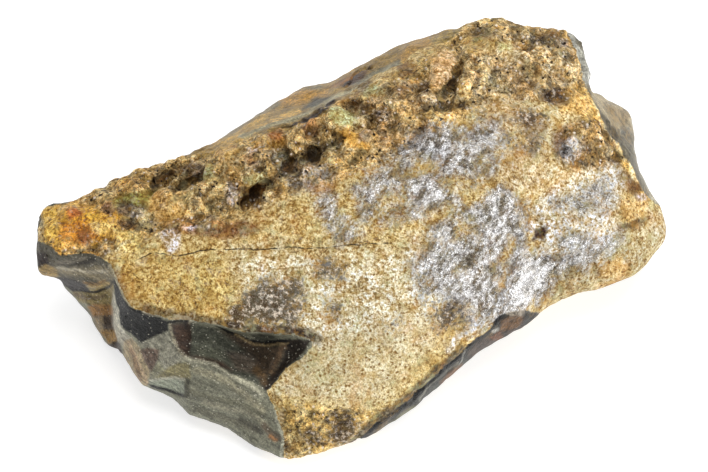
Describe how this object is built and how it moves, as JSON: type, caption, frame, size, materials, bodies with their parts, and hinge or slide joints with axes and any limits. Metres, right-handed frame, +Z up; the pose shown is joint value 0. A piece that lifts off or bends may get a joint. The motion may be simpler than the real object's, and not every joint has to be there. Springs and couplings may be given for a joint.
{
  "type": "fossil tooth",
  "caption": "Broken fossil dinosaur tooth lying on its flat underside: broad worn pitted face, rough knobbly ridge on top, dark fractured end.",
  "frame": {"origin": "centre of the bounding box's bottom, on the surface that the tooth rests on", "axes": "+X along the longest side, from the broken nose towards the far end; +Z up; the broad tan face leans back from -Y"},
  "size_m": [0.0214, 0.0148, 0.0085],
  "materials": {
    "weathered_dentine": "matt pitted tan skin, glossy in worn patches, with dark glassy breaks"
  },
  "bodies": {
    "root": {"tooth": "weathered_dentine"}
  },
  "joints": []
}
